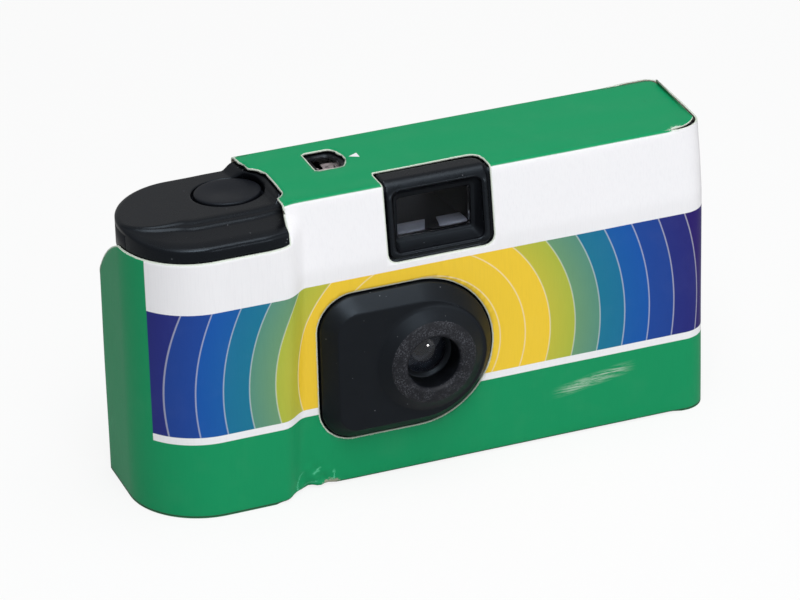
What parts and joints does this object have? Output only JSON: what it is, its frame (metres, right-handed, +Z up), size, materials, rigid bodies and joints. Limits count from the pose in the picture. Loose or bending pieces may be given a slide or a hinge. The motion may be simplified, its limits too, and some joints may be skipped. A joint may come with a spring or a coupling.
{
  "type": "disposable film camera",
  "caption": "Flat film camera in a printed card sleeve, with a shutter button, thumb-wheel film advance, frame counter, viewfinder and a raised round lens panel.",
  "frame": {"origin": "middle of the base of the bounding box, on the plane that the camera stands on", "axes": "+Z up, the lens faces -Y, the cassette end with the shutter button is at -X"},
  "size_m": [0.116, 0.0316, 0.06],
  "materials": {
    "printed_card": "semi-gloss printed card",
    "black_casing": "fine matt",
    "dark_plastic": "matt",
    "grey_plastic": "satin",
    "white_plastic": "satin",
    "clear_plastic": "polished",
    "cassette_metal": "gloss paint",
    "bare_steel": "drawn",
    "felt": "plush",
    "film": "satin film base"
  },
  "bodies": {
    "camera": {"card_sleeve": "printed_card", "front_casing": "black_casing", "rear_casing": "black_casing", "chassis": "dark_plastic", "mechanism_plate": "dark_plastic", "cassette_lid": "black_casing", "film_roll_lid": "black_casing", "counter_window": "clear_plastic", "finder_front_lens": "clear_plastic", "finder_rear_lens": "clear_plastic", "taking_lens": "clear_plastic", "lens_retainer": "black_casing", "stop_plate": "dark_plastic", "panorama_mask": "dark_plastic", "cassette_shell": "cassette_metal", "cassette_caps": "bare_steel", "cassette_felt": "felt", "film_strip": "film", "ratchet_pawl": "dark_plastic", "button_spring": "bare_steel", "drive_spring": "bare_steel", "blade_spring": "bare_steel", "lock_spring": "bare_steel"},
    "button": {"shutter_button": "black_casing"},
    "release": {"release_lever": "grey_plastic"},
    "drive": {"drive_lever": "grey_plastic"},
    "blade": {"shutter_blade": "bare_steel"},
    "lock": {"lock_lever": "grey_plastic"},
    "wheel": {"thumb_wheel": "dark_plastic", "cassette_spool": "dark_plastic", "wound_film": "film"},
    "sprocket_body": {"sprocket": "grey_plastic"},
    "counter": {"counter_disc": "white_plastic"},
    "supply": {"film_roll": "film", "roll_spool": "dark_plastic"}
  },
  "joints": [
    {"name": "button_press", "type": "slide", "parent": "camera", "child": "button", "axis": [0, 0, -1], "range_m": [0, 0.0014], "stiffness_N_per_m": 250, "springref_m": -0.004, "deforming": ["button_spring"]},
    {"name": "release_swing", "type": "hinge", "parent": "camera", "child": "release", "pos_m": [-0.026, -0.0068, 0.04729], "axis": [0, -1, 0], "range_deg": [0, 9.57]},
    {"name": "drive_swing", "type": "hinge", "parent": "camera", "child": "drive", "pos_m": [-0.008, -0.0068, 0.04068], "axis": [0, 1, 0], "range_deg": [0, 10], "stiffness_Nm_per_rad": 0.0005, "springref_deg": -28.65, "deforming": ["drive_spring", "blade_spring", "lock_spring"]},
    {"name": "blade_swing", "type": "hinge", "parent": "camera", "child": "blade", "pos_m": [0.0044, -0.0059, 0.03268], "axis": [0, 1, 0], "range_deg": [0, 32]},
    {"name": "lock_swing", "type": "hinge", "parent": "camera", "child": "lock", "pos_m": [-0.0142, 0.0001, 0.04467], "axis": [0, 0, 1], "range_deg": [0, 8]},
    {"name": "thumb_wheel_turn", "type": "hinge", "parent": "camera", "child": "wheel", "pos_m": [-0.04345, 0.00125, 0.0514], "axis": [0, 0, 1], "continuous": true, "deforming": ["film_strip"]},
    {"name": "sprocket_turn", "type": "hinge", "parent": "camera", "child": "sprocket_body", "pos_m": [-0.0227, 0.0044, 0.0514], "axis": [0, 0, 1], "continuous": true},
    {"name": "counter_turn", "type": "hinge", "parent": "camera", "child": "counter", "pos_m": [-0.01374, 0.00282, 0.0514], "axis": [0, 0, 1], "continuous": true},
    {"name": "film_roll_turn", "type": "hinge", "parent": "camera", "child": "supply", "pos_m": [0.0455, 0.00195, 0.0514], "axis": [0, 0, 1], "continuous": true}
  ],
  "couplings": [
    {"joint": "release_swing", "follows": "button_press", "rad_per_m": 119.05},
    {"joint": "blade_swing", "follows": "drive_swing", "ratio": 3.2},
    {"joint": "lock_swing", "follows": "drive_swing", "ratio": 0.8},
    {"joint": "sprocket_turn", "follows": "thumb_wheel_turn", "ratio": 1.1},
    {"joint": "counter_turn", "follows": "thumb_wheel_turn", "ratio": -0.055},
    {"joint": "film_roll_turn", "follows": "thumb_wheel_turn", "ratio": 0.9}
  ]
}
